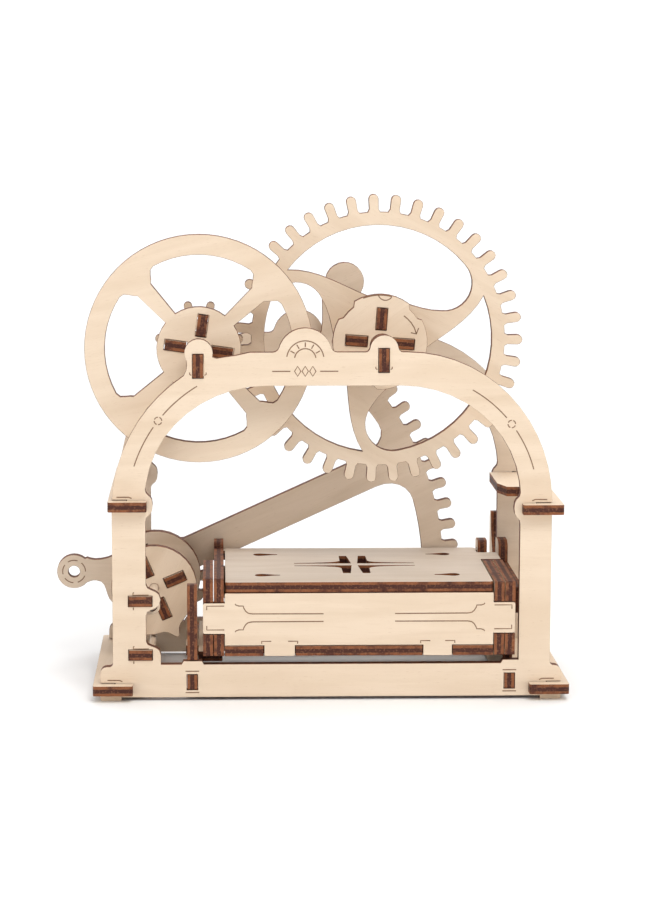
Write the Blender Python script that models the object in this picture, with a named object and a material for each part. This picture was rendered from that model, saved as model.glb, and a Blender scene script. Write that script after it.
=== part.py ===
"""Hand-cranked plywood card box: laser-cut plates, finger gears and a lidded card tray.

Drawing units are millimetres. X runs along the front, Y from front to back, Z up.
The drawing's X = 0 is the arches' centre line and its Y = 0 is the front arch's front face.
"""
import math

import bmesh
import bpy
from mathutils import Matrix, Vector
from mathutils.geometry import interpolate_bezier

MM = 0.001
T = 3.2                    # plywood thickness
GAP = 0.3                  # gap between pieces that meet
PITCH = T + GAP            # from one stacked plate to the next
SLIP = 0.25                # gap round a tenon in its slot
RUN = 0.06                 # radial running clearance of a turning plate on its axle
BITE = 0.15                # half of the gap in a cross-lap joint

# Shaft axes, all along Y
WHEEL_AXIS = (-42.3, 112.4)
GEAR_AXIS = (16.3, 114.0)
PIVOT_AXIS = (-57.7, 30.3)
DOWEL_AXIS = (-58.2, 12.5)
AXLE_R = 1.5
DOWEL_R = 1.1
CLEAR_HOLE_R = 2.0

# Gear trains: teeth, and modules worked out from the distances between the axes
BIG_TEETH = 39
WHEEL_PINION_TEETH = 11
SECTOR_TEETH = 88          # of the full circle that the sector is cut from
DRIVE_PINION_TEETH = 8
CRANK_MODULE = 2 * math.dist(WHEEL_AXIS, GEAR_AXIS) / (BIG_TEETH + WHEEL_PINION_TEETH)
SECTOR_MODULE = 2 * math.dist(PIVOT_AXIS, GEAR_AXIS) / (SECTOR_TEETH + DRIVE_PINION_TEETH)
BIG_PHASE = math.radians(92.1)
SECTOR_PHASE = math.radians(17.35)
TOOTH_WIDTH = 3.2
PINION_TOOTH_WIDTH = 2.7
BIG_TIP_R = 47.4
BIG_ROOT_R = 41.6
BIG_RIM_INNER_R = 37.4
SECTOR_TIP_R = 104.6
SECTOR_ROOT_R = 99.2
SECTOR_RIM_INNER_R = 92.0

# Front faces of the plates, from front to back
Y_FRONT_ARCH = 0.0
Y_FRONT_BEARING = Y_FRONT_ARCH + T + GAP
Y_WHEEL = 13.5
Y_CAM = 18.0
Y_BIG_GEAR = 28.0
Y_HUB_DISC = 33.5
Y_LEVER = 55.6
Y_ARM_PLATE = 59.1
Y_SECTOR = 62.6
Y_BACK_ARCH = 67.0
Y_REAR_BEARING = Y_BACK_ARCH + T + GAP
PROUD = 0.6                # how far tenon ends stand out of a plate
TAB_OUT = 4.0              # how far the base and shelf tabs stand out of the arches

# Arch
LEG_OUT_LEFT, LEG_OUT_RIGHT = -70.2, 70.6
LEG_IN_LEFT, LEG_IN_RIGHT = -59.5, 60.5
FOOT_OUT = 74.3
FOOT_IN = 67.5
FOOT_TOP = 11.1
RAIL_LOW, RAIL_TOP = 1.1, 11.8
PAD_TOP = 12.9
BEAM_LOW, BEAM_TOP = 102.0, 112.6
LOBE_R = 4.5
PIVOT_LOBE_R = 2.75
ORNAMENT = (-8.5, 111.7)
ORNAMENT_R = 8.6

# Base and shelf plates
BASE_LOW = 2.4
BASE_OUT, BASE_IN = 76.6, 63.8
BASE_INNER_EDGE = 59.8
BASE_LAP = 69.6
LEFT_SHELF_LOW, RIGHT_SHELF_LOW = 62.1, 60.8
LEFT_SHELF = (-71.4, -59.0)
RIGHT_SHELF = (61.0, 74.1)
RIGHT_SHELF_STEP_Y = 34.0
LEFT_SHELF_LAP, RIGHT_SHELF_LAP = -65.4, 65.6

# Keys at the shafts, given by the centre of the visible end
KEY_LENGTH = 7.4
WHEEL_KEY = (-42.5, 108.3)
GEAR_KEY = (16.5, 110.0)
PIVOT_KEY = (-61.3, 32.6)
DOWEL_KEY = (-61.3, 15.0)
FRONT_TONGUE = 4.0         # the part of a key that reaches on through the bearing plate
REAR_KEY = 4.6

# Box
BOX_FRONT_Y = -0.4
BOX_LEFT, BOX_RIGHT = -41.2, 59.2
BOX_LOW = 14.6
PANEL_TOP = 35.1
LEFT_TOP, RIGHT_TOP = 39.9, 38.6
LEFT_OUTER_END, RIGHT_STEP_Y = 33.0, 39.0
BACK_Y = 58.0
BACK_TOP = 32.6
TAB_LOW, TAB_TOP = 21.9, 31.9
BOTTOM_TABS = ((-21.5, -11.7), (29.7, 38.9))
HINGE_Y, HINGE_Z = 58.2, 37.0
HINGE_TAB = (2.6, T)        # along Y and Z
HINGE_HOLE_R = 2.15
END_BACK = 62.2
EAR_TOP = 42.3
LID_LOW = 35.4
LID_BACK = 61.4
GUIDE_BACK = 82.0
LID_EAR_ROOM = 6.2         # from the hinge line to the lid's wide part, which turns past the ear
LID_TEAR = (31.2, 18.4)    # the teardrops' heads, from the lid's middle

# Ring lever and hub
RING = (-27.9, 1.5)         # the finger ring's centre, seen from the pivot
RING_R = 5.8
HUB_DISC_R = 14.3
LEVER_DISC_R = 15.4
SPACER = (4.2, 11.0)       # inner and outer radius of the spacer tenons

# Cross plates, lid guide plate and box ledge
LEFT_CROSS_X = -46.3
RIGHT_CROSS_X = 56.0
CROSS_TENON = (6.0, 4.8)   # middle height and height of the cross plates' tenons
GUIDE_X = BOX_RIGHT + GAP
GUIDE_LOW, GUIDE_TOP = 26.3, 35.0
GUIDE_FRONT = 9.0
LEDGE_Y = (17.0, 27.0)
LEDGE_LOW = BOX_LOW - GAP - T

# Hand wheel and the turning stacks
WHEEL_TURN, GEAR_TURN, HUB_TURN = -8.0, -4.0, 23.0
WINDOW_TURN = -2.5         # of the hand wheel's four windows
WHEEL_R, WHEEL_RIM_R, WHEEL_HUB_R = 36.8, 30.3, 13.6
TONGUE_R = 8.6
TAIL = (2.2, 5.2)          # inner and outer radius of the spacers' long tails
TAIL_STEP = 6.0            # how far behind the big gear the spacers narrow to their tails

# Sector gear and its arm, seen from the pivot
SECTOR_LOW_TOOTH, SECTOR_HIGH_TOOTH = -4, 8
KNOB = (119.1, 57.1)
KNOB_R = 6.6
ARM_ANGLE = 24.5
ARM_EDGES = (-4.65, 6.65)

# The object's own frame: centred on its box, standing on Z = 0
X_LOW = PIVOT_AXIS[0] + RING[0] - RING_R
X_CENTRE = (X_LOW + BASE_OUT) / 2
Y_CENTRE = (GUIDE_BACK - TAB_OUT) / 2

BIRCH = (0.80, 0.66, 0.47)
EDGE_BROWN = (0.24, 0.10, 0.05)
DOWEL_WOOD = (0.84, 0.74, 0.58)


# ---------------------------------------------------------------- outlines

def arc(centre, radius, start, end, steps):
    """Points on an arc, from start to end degrees, both ends included."""
    points = []
    for i in range(steps + 1):
        angle = math.radians(start + (end - start) * i / steps)
        points.append((centre[0] + radius * math.cos(angle), centre[1] + radius * math.sin(angle)))
    return points


def ellipse_arc(centre, radii, start, end, steps):
    """Points on an arc of an ellipse, from start to end degrees."""
    unit = arc((0, 0), 1, start, end, steps)
    return [(centre[0] + radii[0] * x, centre[1] + radii[1] * y) for x, y in unit]


def circle(centre, radius, steps=24):
    return arc(centre, radius, 0, 360, steps)[:-1]


def polar(radius, degrees):
    angle = math.radians(degrees)
    return radius * math.cos(angle), radius * math.sin(angle)


def turned(points, degrees):
    """The points turned about the origin."""
    c, s = math.cos(math.radians(degrees)), math.sin(math.radians(degrees))
    return [(x * c - y * s, x * s + y * c) for x, y in points]


def curve(start, handle_a, handle_b, end, steps=8):
    """A cubic Bezier stretch, both ends included."""
    ends = [Vector((*p, 0)) for p in (start, handle_a, handle_b, end)]
    return [(p.x, p.y) for p in interpolate_bezier(*ends, steps + 1)]


def rounded(corners, steps=4):
    """A closed outline from (x, y, radius) corners, each corner cut by an arc of its radius."""
    outline = []
    for i, (x, y, radius) in enumerate(corners):
        before = Vector(corners[i - 1][:2])
        here = Vector((x, y))
        after = Vector(corners[(i + 1) % len(corners)][:2])
        if radius == 0:
            outline.append((x, y))
            continue
        to_before, to_after = (before - here).normalized(), (after - here).normalized()
        half = to_before.angle(to_after) / 2
        reach = radius / math.tan(half)
        centre = here + (to_before + to_after).normalized() * (radius / math.sin(half))
        start = here + to_before * reach - centre
        turn = start.angle_signed(here + to_after * reach - centre)
        for k in range(steps + 1):
            point = centre + Matrix.Rotation(-turn * k / steps, 2) @ start
            outline.append((point.x, point.y))
    return outline


def box(x0, x1, y0, y1, radius=0.0):
    corners = [(x0, y0, radius), (x1, y0, radius), (x1, y1, radius), (x0, y1, radius)]
    return rounded(corners)


def bump(centre, radius, base, fillet, steps=12):
    """A round bump on a level top edge, run from right to left, with a hollow at each foot."""
    drop = base + fillet - centre[1]
    reach = math.sqrt((radius + fillet) ** 2 - drop ** 2)
    lean = math.degrees(math.asin(drop / (radius + fillet)))
    right_foot = arc((centre[0] + reach, base + fillet), fillet, 270, 180 + lean, 3)
    left_foot = arc((centre[0] - reach, base + fillet), fillet, -lean, -90, 3)
    return right_foot + arc(centre, radius, lean, 180 - lean, steps)[1:-1] + left_foot


def bulge(side, edge, height, reach, half):
    """A lobe on a leg's inner edge, run upwards; side is +1 where the lobe points to +X."""
    tip = edge + side * reach
    lower = curve((edge, height - half), (edge, height - half * 0.5), (tip, height - half * 0.75),
                  (tip, height), 5)
    upper = curve((tip, height), (tip, height + half * 0.75), (edge, height + half * 0.5),
                  (edge, height + half), 5)
    return lower + upper[1:]


def finger_tooth(centre_angle, root_r, tip_r, width=TOOTH_WIDTH):
    """One tooth, run counter-clockwise: straight sides and a full round tip."""
    half = width / 2
    neck = half * 0.95
    tip_centre = tip_r - half
    side = math.sqrt(root_r ** 2 - neck ** 2)
    points = [(side + 1.0, -neck)]
    points += arc((tip_centre, 0), half, -90, 90, 6)
    points.append((side + 1.0, neck))
    return turned(points, math.degrees(centre_angle))


def tooth_gap(centre_angle, pitch, root_r, width=TOOTH_WIDTH):
    """The rounded floor between two teeth, run counter-clockwise."""
    reach = pitch / 2 - (width / 2 + 0.45) / root_r
    angles = [math.degrees(centre_angle + reach * k) for k in (-1, 0, 1)]
    return [polar(root_r, angle) for angle in angles]


def gear_outline(teeth, phase, root_r, tip_r, width=TOOTH_WIDTH):
    pitch = 2 * math.pi / teeth
    outline = []
    for i in range(teeth):
        outline += finger_tooth(phase + i * pitch, root_r, tip_r, width)
        outline += tooth_gap(phase + (i + 0.5) * pitch, pitch, root_r, width)
    return outline


def meshed_phase(axis, teeth, other_axis, other_teeth, other_phase, module):
    """The phase that puts a gap of this gear over a tooth of the other one."""
    towards = math.atan2(other_axis[1] - axis[1], other_axis[0] - axis[0])
    back = towards + math.pi
    pitch = 2 * math.pi / other_teeth
    offset = (other_phase - back + pitch / 2) % pitch - pitch / 2
    gap = towards - offset * other_teeth / teeth
    return gap + math.pi / teeth


# ---------------------------------------------------------------- plates

def material(name, colour, roughness=0.62):
    made = bpy.data.materials.new(name)
    made.use_nodes = True
    shader = made.node_tree.nodes["Principled BSDF"]
    shader.inputs["Base Color"].default_value = (*colour, 1)
    shader.inputs["Roughness"].default_value = roughness
    shader.inputs["Metallic"].default_value = 0.0
    return made


# How a drawing's (x, y, depth) lies in space: upright facing the front, upright facing a side, or flat
FRONT = Matrix(((1, 0, 0), (0, 0, 1), (0, 1, 0)))
SIDE = Matrix(((0, 0, 1), (1, 0, 0), (0, 1, 0)))
FLAT = Matrix(((1, 0, 0), (0, 1, 0), (0, 0, 1)))


def plate(name, loops, facing, at, parent, colour=BIRCH, thickness=T):
    """A flat piece: the first loop is its outline and the others are its holes."""
    bm = bmesh.new()
    for loop in loops:
        verts = [bm.verts.new(facing @ Vector((x, y, 0)) * MM) for x, y in loop]
        for a, b in zip(verts, verts[1:] + verts[:1]):
            bm.edges.new((a, b))
    bmesh.ops.triangle_fill(bm, use_beauty=True, use_dissolve=False, edges=bm.edges[:])
    grown = bmesh.ops.extrude_face_region(bm, geom=bm.faces[:])["geom"]
    moved = [item for item in grown if isinstance(item, bmesh.types.BMVert)]
    bmesh.ops.translate(bm, vec=facing @ Vector((0, 0, thickness)) * MM, verts=moved)
    bmesh.ops.recalc_face_normals(bm, faces=bm.faces[:])
    return add_object(name, bm, Vector(at) * MM, parent, colour)


def dowel(name, radius, y0, y1, parent, centre):
    """A round rod along Y with eased ends."""
    ease = 0.3
    bm = bmesh.new()
    rings = []
    for y, r in ((y0, radius - ease), (y0 + ease, radius), (y1 - ease, radius), (y1, radius - ease)):
        rings.append([bm.verts.new(Vector((x, y, z)) * MM) for x, z in circle(centre, r)])
    for low, high in zip(rings, rings[1:]):
        for i in range(len(low)):
            j = (i + 1) % len(low)
            bm.faces.new((low[i], low[j], high[j], high[i]))
    bm.faces.new(rings[0])
    bm.faces.new(rings[-1])
    bmesh.ops.recalc_face_normals(bm, faces=bm.faces[:])
    made = add_object(name, bm, Vector((0, 0, 0)), parent, DOWEL_WOOD)
    made.data.shade_smooth()
    made.data.set_sharp_from_angle(angle=math.radians(40))
    return made


def add_object(name, bm, location, parent, colour):
    mesh = bpy.data.meshes.new(name)
    bm.to_mesh(mesh)
    bm.free()
    mesh.materials.append(material(name, colour))
    made = bpy.data.objects.new(name, mesh)
    made.location = location
    made.parent = parent
    bpy.context.scene.collection.objects.link(made)
    return made


def empty(name, location, parent=None):
    made = bpy.data.objects.new(name, None)
    made.location = Vector(location) * MM
    made.parent = parent
    bpy.context.scene.collection.objects.link(made)
    return made


# ---------------------------------------------------------------- frame

def arch_outline(reach, notch):
    """The arch's outer edge, counter-clockwise from the left foot, and the edge of its opening."""
    left_foot = rounded([(-FOOT_OUT, 0, 0.4), (-FOOT_IN, 0, 0.4), (-FOOT_IN, RAIL_LOW, 0),
                         (0, RAIL_LOW, 0), (-FOOT_OUT, 30, 0)])[:-2]
    right_foot = [(-x, y) for x, y in reversed(left_foot)]
    shoulder_right = ellipse_arc((24.0, 64.0), (LEG_OUT_RIGHT - 24.0, BEAM_TOP - 64.0), 1.5, 90, 14)
    shoulder_left = arc((-18.4, 62.0), 51.8, 123.5, 175.5, 9)
    right_side = rounded([(FOOT_OUT, 0, 0), (FOOT_OUT, FOOT_TOP, 2.2), (LEG_OUT_RIGHT, FOOT_TOP, 1.2),
                          (LEG_OUT_RIGHT, 40, 0)])[1:-1]
    left_side = rounded([(LEG_OUT_LEFT, 40, 0), (LEG_OUT_LEFT, FOOT_TOP, 1.2),
                         (-FOOT_OUT, FOOT_TOP, 2.2), (-FOOT_OUT, 0, 0)])[1:-1]
    right_lap = lap(FOOT_OUT, BASE_LAP, BASE_LOW) + right_side
    right_lap += lap(LEG_OUT_RIGHT, RIGHT_SHELF_LAP, RIGHT_SHELF_LOW)
    left_lap = lap(LEG_OUT_LEFT, LEFT_SHELF_LAP, LEFT_SHELF_LOW)[::-1] + left_side
    left_lap += lap(-FOOT_OUT, -BASE_LAP, BASE_LOW)[::-1]
    top = bump((GEAR_AXIS[0] + 0.3, GEAR_AXIS[1] - 0.5), LOBE_R, BEAM_TOP, 1.5)
    top += bump(ORNAMENT, ORNAMENT_R, BEAM_TOP, 2.0, 16)
    wheel_lobe = [(-26.0, BEAM_TOP), (-30.5, 111.6), (-34.7, 111.0), (-36.6, 110.7)]
    wheel_lobe += arc(WHEEL_AXIS, LOBE_R, -16, 215, 14) + [(-45.9, 108.6), (-46.2, 107.0)]
    return (left_foot + right_foot + right_lap + shoulder_right + top + wheel_lobe
            + shoulder_left + left_lap), arch_opening(reach, notch)


def lap(outer, inner, low):
    """A slot open at the outer edge, run upwards, for a plate's cross-lap."""
    deep = inner + math.copysign(BITE, -outer)
    return [(outer, low - GAP), (deep, low - GAP), (deep, low + T + GAP), (outer, low + T + GAP)]


def pad(x0, x1):
    """A low pad on the rail, run from right to left."""
    return [(x1 + 0.6, RAIL_TOP), (x1, PAD_TOP), (x0, PAD_TOP), (x0 - 0.6, RAIL_TOP)]


def arch_opening(reach, notch):
    """The inner edge of the arch. reach is how far the left leg's two lobes stand into the
    opening, and notch holds the points of a recess in the right leg, from top to bottom."""
    lobes = [(LEG_IN_LEFT + reach, RAIL_TOP)] + bulge(1, LEG_IN_LEFT, DOWEL_KEY[1], reach, 4.4)[5:]
    lobes += bulge(1, LEG_IN_LEFT, PIVOT_KEY[1] + 0.4, reach, 5.0)
    lobes += bulge(1, LEG_IN_LEFT, LEFT_SHELF_LOW + 1.6, 2.4, 5.2)
    over = ellipse_arc((-20.5, 66.0), (39.0, BEAM_LOW - 66.0), 172, 90, 10)
    over += ellipse_arc((22.0, 66.0), (38.5, BEAM_LOW - 66.0), 90, 8, 10)
    right = bulge(-1, LEG_IN_RIGHT, RIGHT_SHELF_LOW + 1.6, 2.0, 5.2)[::-1]
    rail = [(LEG_IN_RIGHT, PAD_TOP), (55.4, PAD_TOP), (54.8, RAIL_TOP)] + pad(-47.5, -41.6)
    return lobes + over + right + notch + rail


def arch(name, y, parent, holes, reach, notch=()):
    outline, opening = arch_outline(reach, list(notch))
    return plate(name, [outline, opening] + holes, FRONT, (0, y, 0), parent)


def slot(centre, width, height):
    """A tenon's hole, with the slip gap all round."""
    half_w, half_h = width / 2 + SLIP, height / 2 + SLIP
    x, z = centre
    return box(x - half_w, x + half_w, z - half_h, z + half_h)


def cross_slots():
    height, size = CROSS_TENON
    return [slot((x + T / 2, height), T, size) for x in (LEFT_CROSS_X, RIGHT_CROSS_X)]


def build_arches(frame):
    front_holes = [slot(WHEEL_KEY, T, KEY_LENGTH), slot(GEAR_KEY, T, KEY_LENGTH),
                   slot(PIVOT_KEY, KEY_LENGTH, T), slot(DOWEL_KEY, KEY_LENGTH, T)]
    arch("front_arch", Y_FRONT_ARCH, frame, front_holes + cross_slots(), reach=4.7)
    back_holes = [circle(axis, CLEAR_HOLE_R) for axis in (WHEEL_AXIS, GEAR_AXIS, PIVOT_AXIS)]
    back_holes.append(circle(DOWEL_AXIS, DOWEL_R + SLIP))
    back_holes += [slot(centre, *size) for centre, size in rear_keys()]
    deep, low, top = GUIDE_X + T + GAP, GUIDE_LOW - GAP, GUIDE_TOP + GAP
    notch = [(LEG_IN_RIGHT, top), (deep, top), (deep, low), (LEG_IN_RIGHT, low)]
    arch("back_arch", Y_BACK_ARCH, frame, back_holes + cross_slots(), reach=7.4, notch=notch)


def rear_keys():
    """Centre and size of the keys behind the back arch, one beside each bearing."""
    low = KEY_LENGTH / 2 - REAR_KEY / 2
    upright, level = (T, REAR_KEY), (REAR_KEY, T)
    side = PIVOT_KEY[0] - low - 0.6
    return [((WHEEL_KEY[0], WHEEL_KEY[1] - low), upright), ((GEAR_KEY[0], GEAR_KEY[1] - low), upright),
            ((side, PIVOT_KEY[1]), level), ((side, DOWEL_KEY[1]), level)]


def side_plate(name, span, lap_x, low, parent, wide):
    """A base or shelf plate: a strip from front to back with a cross-lap notch at each arch.
    wide holds the corners of its inner edge between the arches, from front to back."""
    outer, inner = max(span, key=abs), min(span, key=abs)
    neck = lap_x + math.copysign(BITE, outer)
    front, back = -TAB_OUT, Y_BACK_ARCH + T + TAB_OUT
    corners = [(outer, front, 1.0), (inner, front, 0.6)]
    corners += [(inner, -GAP, 0), (neck, -GAP, 0), (neck, T + GAP, 0)]
    corners += list(wide)
    last = wide[-1][0]
    corners += [(last, Y_BACK_ARCH - GAP, 0), (neck, Y_BACK_ARCH - GAP, 0)]
    corners += [(neck, Y_BACK_ARCH + T + GAP, 0), (inner, Y_BACK_ARCH + T + GAP, 0)]
    corners += [(inner, back, 0.6), (outer, back, 1.0)]
    return plate(name, [rounded(corners)], FLAT, (0, 0, low), parent)


def build_side_plates(frame):
    near, step_y = T + GAP, RIGHT_SHELF_STEP_Y
    side_plate("left_base_plate", (-BASE_OUT, -BASE_IN), -BASE_LAP, BASE_LOW, frame,
               [(-BASE_INNER_EDGE, near, 0.6)])
    side_plate("right_base_plate", (BASE_OUT, BASE_IN), BASE_LAP, BASE_LOW, frame,
               [(BASE_INNER_EDGE, near, 0.6)])
    side_plate("left_shelf_plate", LEFT_SHELF, LEFT_SHELF_LAP, LEFT_SHELF_LOW, frame,
               [(LEFT_SHELF[1] - 3.0, near, 0)])
    step = [(64.5, near, 0), (64.5, step_y, 1.0), (60.0, step_y, 0.6), (57.6, step_y + 8.0, 0.6)]
    side_plate("right_shelf_plate", RIGHT_SHELF, RIGHT_SHELF_LAP, RIGHT_SHELF_LOW, frame, step)


def build_cross_plates(frame):
    """The two plates that stand across the bottom rails, and the ledge under the box."""
    near, far = Y_FRONT_ARCH + T + GAP, Y_BACK_ARCH - GAP
    ends = (Y_FRONT_ARCH - BITE, Y_BACK_ARCH + T + BITE)
    low, rail = 1.5, RAIL_TOP - GAP
    tenon_low = CROSS_TENON[0] - CROSS_TENON[1] / 2
    tenon_top = CROSS_TENON[0] + CROSS_TENON[1] / 2
    back_end = [(far, low, 0), (far, tenon_low, 0), (ends[1], tenon_low, 0.3), (ends[1], tenon_top, 0.3),
                (far, tenon_top, 0)]
    front_end = [(near, tenon_top, 0), (ends[0], tenon_top, 0.3), (ends[0], tenon_low, 0.3),
                 (near, tenon_low, 0), (near, low, 0)]
    rise = LEDGE_LOW + T + 4.0
    finger = [(5.6, rail, 1.0), (5.6, 27.0, 3.0), (6.2, 34.0, 3.0), (5.4, 37.6, 1.6), (0.4, 37.6, 1.0),
              (0.4, PAD_TOP + GAP, 0), (near, PAD_TOP + GAP, 0)]
    left = back_end + [(far, rail, 0), (LEDGE_Y[1] + 4, rail, 1.5), (LEDGE_Y[1] + 2, rise, 1.5),
                       (LEDGE_Y[0] - 2, rise, 1.5), (LEDGE_Y[0] - 4, rail, 1.5)]
    middle = sum(LEDGE_Y) / 2
    ledge_slot = slot((middle, LEDGE_LOW + T / 2), LEDGE_Y[1] - LEDGE_Y[0], T)
    plate("left_cross_plate", [rounded(left + finger + front_end), ledge_slot], SIDE,
          (LEFT_CROSS_X, 0, 0), frame)
    rest = BOX_LOW - GAP
    right = back_end + [(far, rail, 0), (58.0, rail, 1.0), (57.0, rest, 0.6), (7.0, rest, 0.6),
                        (6.0, rail, 1.0), (near, rail, 0)]
    plate("right_cross_plate", [rounded(right + front_end)], SIDE, (RIGHT_CROSS_X, 0, 0), frame)
    inner = LEFT_CROSS_X + T + GAP
    ledge = [(inner, 8, 0.6), (BOX_LEFT + 6.2, 8, 0.6), (BOX_LEFT + 6.2, 56, 0.6), (inner, 56, 0.6),
             (inner, LEDGE_Y[1], 0), (LEFT_CROSS_X - PROUD, LEDGE_Y[1], 0.3),
             (LEFT_CROSS_X - PROUD, LEDGE_Y[0], 0.3), (inner, LEDGE_Y[0], 0)]
    plate("box_ledge", [rounded(ledge)], FLAT, (0, 0, LEDGE_LOW), frame)


def build_lid_guide(frame):
    """The plate beside the box's right end: an ear at the hinge, and a horn behind the back arch."""
    ear_front, ear_back = HINGE_Y - 5.2, END_BACK
    low, top, back = GUIDE_LOW, GUIDE_TOP, GUIDE_BACK
    outline = [(GUIDE_FRONT, low, 0.8), (back - 2.0, low, 4.0), (back, low + 8.0, 2.0), (back, 46.0, 1.5),
               (back - 1.4, 48.4, 0.8), (back - 4.2, 48.4, 0.6), (back - 4.8, 42.0, 4.0),
               (back - 7.6, 37.6, 3.0), (back - 10.4, top - 0.6, 1.5), (ear_back, top - 0.6, 1.0),
               (ear_back, EAR_TOP, 1.2), (ear_front + 2.6, EAR_TOP, 0.8), (ear_front, EAR_TOP - 1.4, 1.0),
               (ear_front, top, 0), (GUIDE_FRONT, top, 0.8)]
    plate("lid_guide_plate", [rounded(outline)], SIDE, (GUIDE_X, 0, 0), frame)


# ---------------------------------------------------------------- bearings, keys and axles

def post_bearing(name, axis, foot, width, key, y, parent):
    """An upright bearing plate with a round head at the shaft."""
    half = width / 2
    outline = [(axis[0] + half, foot)] + arc(axis, half, 0, 180, 12) + [(axis[0] - half, foot)]
    holes = [circle(axis, AXLE_R + SLIP), slot(key[0], *key[1])]
    return plate(name, [outline] + holes, FRONT, (0, y, 0), parent)


def pivot_bearing(name, keys, y, parent):
    """The plate along the left leg that carries the pivot axle and the lower dowel."""
    left, right = LEG_OUT_LEFT + 1.2, LEG_IN_LEFT - 1.2
    low, high = DOWEL_AXIS[1] - 5.0, PIVOT_AXIS[1] + 6.0
    outline = [(left, low), (right, low)]
    for axis in (DOWEL_AXIS, PIVOT_AXIS):
        outline.append((right, axis[1] - PIVOT_LOBE_R))
        outline += arc(axis, PIVOT_LOBE_R, -80, 80, 8)
        outline.append((right, axis[1] + PIVOT_LOBE_R))
    outline += [(right, high), (left, high)]
    holes = [circle(PIVOT_AXIS, AXLE_R + SLIP), circle(DOWEL_AXIS, DOWEL_R + SLIP)]
    holes += [slot(centre, *size) for centre, size in keys]
    return plate(name, [outline] + holes, FRONT, (0, y, 0), parent)


def tongue_key(centre, upright):
    """Centre and size of the part of a front key that goes through the bearing plate."""
    shift = (KEY_LENGTH - FRONT_TONGUE) / 2
    if upright:
        return (centre[0], centre[1] - shift), (T, FRONT_TONGUE)
    return (centre[0] - shift, centre[1]), (FRONT_TONGUE, T)


def front_key(name, centre, upright, parent):
    """A stepped key: full length in the arch, shorter in the bearing plate."""
    start, step, end = -PROUD, T + GAP / 2, Y_FRONT_BEARING + T + PROUD
    a, b = -KEY_LENGTH / 2, KEY_LENGTH / 2
    tongue = a + FRONT_TONGUE
    if upright:
        outline = [(start, a, 0.3), (end, a, 0.3), (end, tongue, 0.3), (step, tongue, 0), (step, b, 0),
                   (start, b, 0.3)]
        return plate(name, [rounded(outline)], SIDE, (centre[0] - T / 2, 0, centre[1]), parent,
                     EDGE_BROWN)
    outline = [(a, start, 0.3), (b, start, 0.3), (b, step, 0), (tongue, step, 0), (tongue, end, 0.3),
               (a, end, 0.3)]
    return plate(name, [rounded(outline)], FLAT, (centre[0], 0, centre[1] - T / 2), parent, EDGE_BROWN)


def build_bearings(frame):
    wheel_key, gear_key = tongue_key(WHEEL_KEY, True), tongue_key(GEAR_KEY, True)
    pivot_keys = [tongue_key(PIVOT_KEY, False), tongue_key(DOWEL_KEY, False)]
    post_bearing("wheel_front_bearing", WHEEL_AXIS, 103.0, 8.0, wheel_key, Y_FRONT_BEARING, frame)
    post_bearing("gear_front_bearing", GEAR_AXIS, 103.0, 8.0, gear_key, Y_FRONT_BEARING, frame)
    pivot_bearing("pivot_front_bearing", pivot_keys, Y_FRONT_BEARING, frame)
    front_key("wheel_front_key", WHEEL_KEY, True, frame)
    front_key("gear_front_key", GEAR_KEY, True, frame)
    front_key("pivot_front_key", PIVOT_KEY, False, frame)
    front_key("dowel_front_key", DOWEL_KEY, False, frame)
    wheel_rear, gear_rear, pivot_rear, dowel_rear = rear_keys()
    post_bearing("wheel_rear_bearing", WHEEL_AXIS, 102.8, 8.6, wheel_rear, Y_REAR_BEARING, frame)
    post_bearing("gear_rear_bearing", GEAR_AXIS, 102.8, 8.6, gear_rear, Y_REAR_BEARING, frame)
    pivot_bearing("pivot_rear_bearing", [pivot_rear, dowel_rear], Y_REAR_BEARING, frame)
    names = ("wheel_rear_key", "gear_rear_key", "pivot_rear_key", "dowel_rear_key")
    length = 2 * T + GAP + 0.3
    for name, (centre, (width, height)) in zip(names, rear_keys()):
        outline = box(-width / 2, width / 2, -height / 2, height / 2)
        plate(name, [outline], FRONT, (centre[0], Y_BACK_ARCH, centre[1]), frame, EDGE_BROWN, length)


def build_axles(frame):
    start, end = Y_FRONT_BEARING + 0.1, Y_REAR_BEARING + T + 0.2
    dowel("wheel_axle", AXLE_R, start, end, frame, WHEEL_AXIS)
    dowel("gear_axle", AXLE_R, start, end, frame, GEAR_AXIS)
    dowel("pivot_axle", AXLE_R, start, end, frame, PIVOT_AXIS)
    dowel("lower_tie_dowel", DOWEL_R, start, end, frame, DOWEL_AXIS)


# ---------------------------------------------------------------- turning stacks

def cross_slots_at(angle, outer):
    """Four radial slots for the spacer tenons, the first at this angle."""
    first = box(SPACER[0] - SLIP, outer + SLIP, -T / 2 - SLIP, T / 2 + SLIP)
    return [turned(first, angle + 90 * k) for k in range(4)]


def spacers(prefix, angle, parent, profile):
    """Four radial strips that lock a stack of plates together. The profile is in (radius, y)."""
    for k in range(4):
        made = plate(f"{prefix}_spacer_{k + 1}", [rounded(profile)], FLAT, (0, 0, 0), parent, EDGE_BROWN)
        turn = math.radians(angle + 90 * k)
        made.rotation_euler = (0, -turn, 0)
        made.location = Vector((math.sin(turn), 0, -math.cos(turn))) * (T / 2) * MM


def wheel_window():
    """One of the wheel's four windows, centred on +X."""
    side, notch, corner = (26.0, 38.6), (28.2, 35.6), (WHEEL_RIM_R, 31.0)
    hub = arc((0, 0), WHEEL_HUB_R, -36.0, 36.0, 8)
    rim = arc((0, 0), WHEEL_RIM_R, corner[1], -corner[1], 10)
    upper = [polar(*side), polar(26.9, 37.0), polar(*notch), polar(29.7, 33.8)]
    lower = [(x, -y) for x, y in reversed(upper)]
    return hub + upper + rim + lower


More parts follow.
